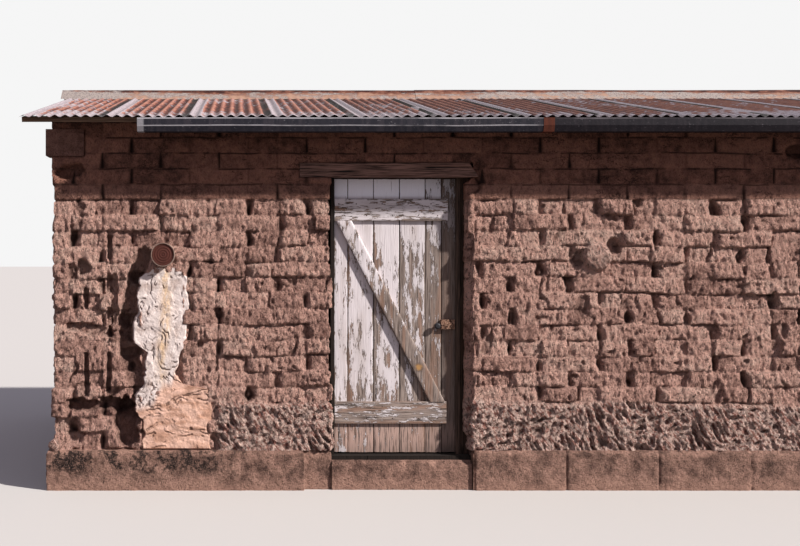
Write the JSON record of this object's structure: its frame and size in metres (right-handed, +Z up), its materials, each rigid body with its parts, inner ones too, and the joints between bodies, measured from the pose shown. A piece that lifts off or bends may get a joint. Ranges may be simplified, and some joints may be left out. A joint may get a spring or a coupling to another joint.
{
  "type": "adobe house",
  "caption": "Single-room mud brick house on a block plinth, with a ledged board door that swings inward, a front gutter and a corrugated iron gable roof.",
  "frame": {"origin": "middle of the plan on the underside of the floor, at the lowest ground that the plinth meets", "axes": "+X along the front to the right, seen from outside; +Y into the house from the door side; +Z up"},
  "size_m": [7.4914, 4.586, 3.3641],
  "materials": {
    "adobe": "sun-dried mud brick, weathered",
    "plinth_stone": "rough stained concrete block",
    "earth_floor": "packed earth",
    "roof_timber": "weathered softwood",
    "corrugated_iron": "galvanised sheet, rusting",
    "ridge_iron": "galvanised sheet, rusting",
    "gutter_iron": "dark weathered zinc",
    "rusted_iron": "rust",
    "lintel_timber": "weathered plank",
    "corner_block": "smooth concrete block",
    "painted_boards": "flaking white paint on bare boards",
    "frame_timber": "bare weathered timber",
    "knob_steel": "dull steel",
    "latch_block": "rough wood",
    "hinge_iron": "forged, rusting",
    "thimble_iron": "pale flaked paint on iron",
    "thimble_cap": "dark red-brown rust",
    "plaster": "thick lime and mud plaster"
  },
  "bodies": {
    "house": {"front_wall_left": "adobe", "front_wall_over_door": "adobe", "front_wall_right": "adobe", "back_wall": "adobe", "left_gable_wall": "adobe", "right_gable_wall": "adobe", "plinth_front_left": "plinth_stone", "plinth_front_right": "plinth_stone", "plinth_door_sill": "plinth_stone", "plinth_back": "plinth_stone", "plinth_left": "plinth_stone", "plinth_right": "plinth_stone", "floor": "earth_floor", "rafters_front": "roof_timber", "rafters_back": "roof_timber", "tie_beams": "roof_timber", "ridge_board": "roof_timber", "purlins_front": "roof_timber", "purlins_back": "roof_timber", "wall_plate_front": "roof_timber", "wall_plate_back": "roof_timber", "roof_sheets_front": "corrugated_iron", "roof_sheets_back": "corrugated_iron", "ridge_cap_left": "ridge_iron", "ridge_cap_middle": "ridge_iron", "ridge_cap_right": "ridge_iron", "gutter_left": "gutter_iron", "gutter_right": "gutter_iron", "gutter_joint": "rusted_iron", "lintel_front": "lintel_timber", "lintel_middle": "lintel_timber", "lintel_back": "lintel_timber", "corner_block_left": "corner_block", "corner_block_right": "corner_block", "door_jamb_left": "frame_timber", "door_jamb_right": "frame_timber", "door_stop": "frame_timber", "door_threshold": "frame_timber", "door_pintles": "hinge_iron", "stovepipe_thimble": "thimble_iron", "stovepipe_cap": "thimble_cap", "plaster_patch": "plaster"},
    "door": {"door_boards": "painted_boards", "door_ledge_top": "painted_boards", "door_ledge_bottom": "painted_boards", "door_brace": "painted_boards", "door_knob": "knob_steel", "door_latch_block": "latch_block", "door_straps": "hinge_iron"}
  },
  "joints": [
    {"name": "door_hinge", "type": "hinge", "parent": "house", "child": "door", "pos_m": [-1.33875, -1.823, 1.3], "axis": [0, 0, 1], "range_deg": [0, 90]}
  ]
}
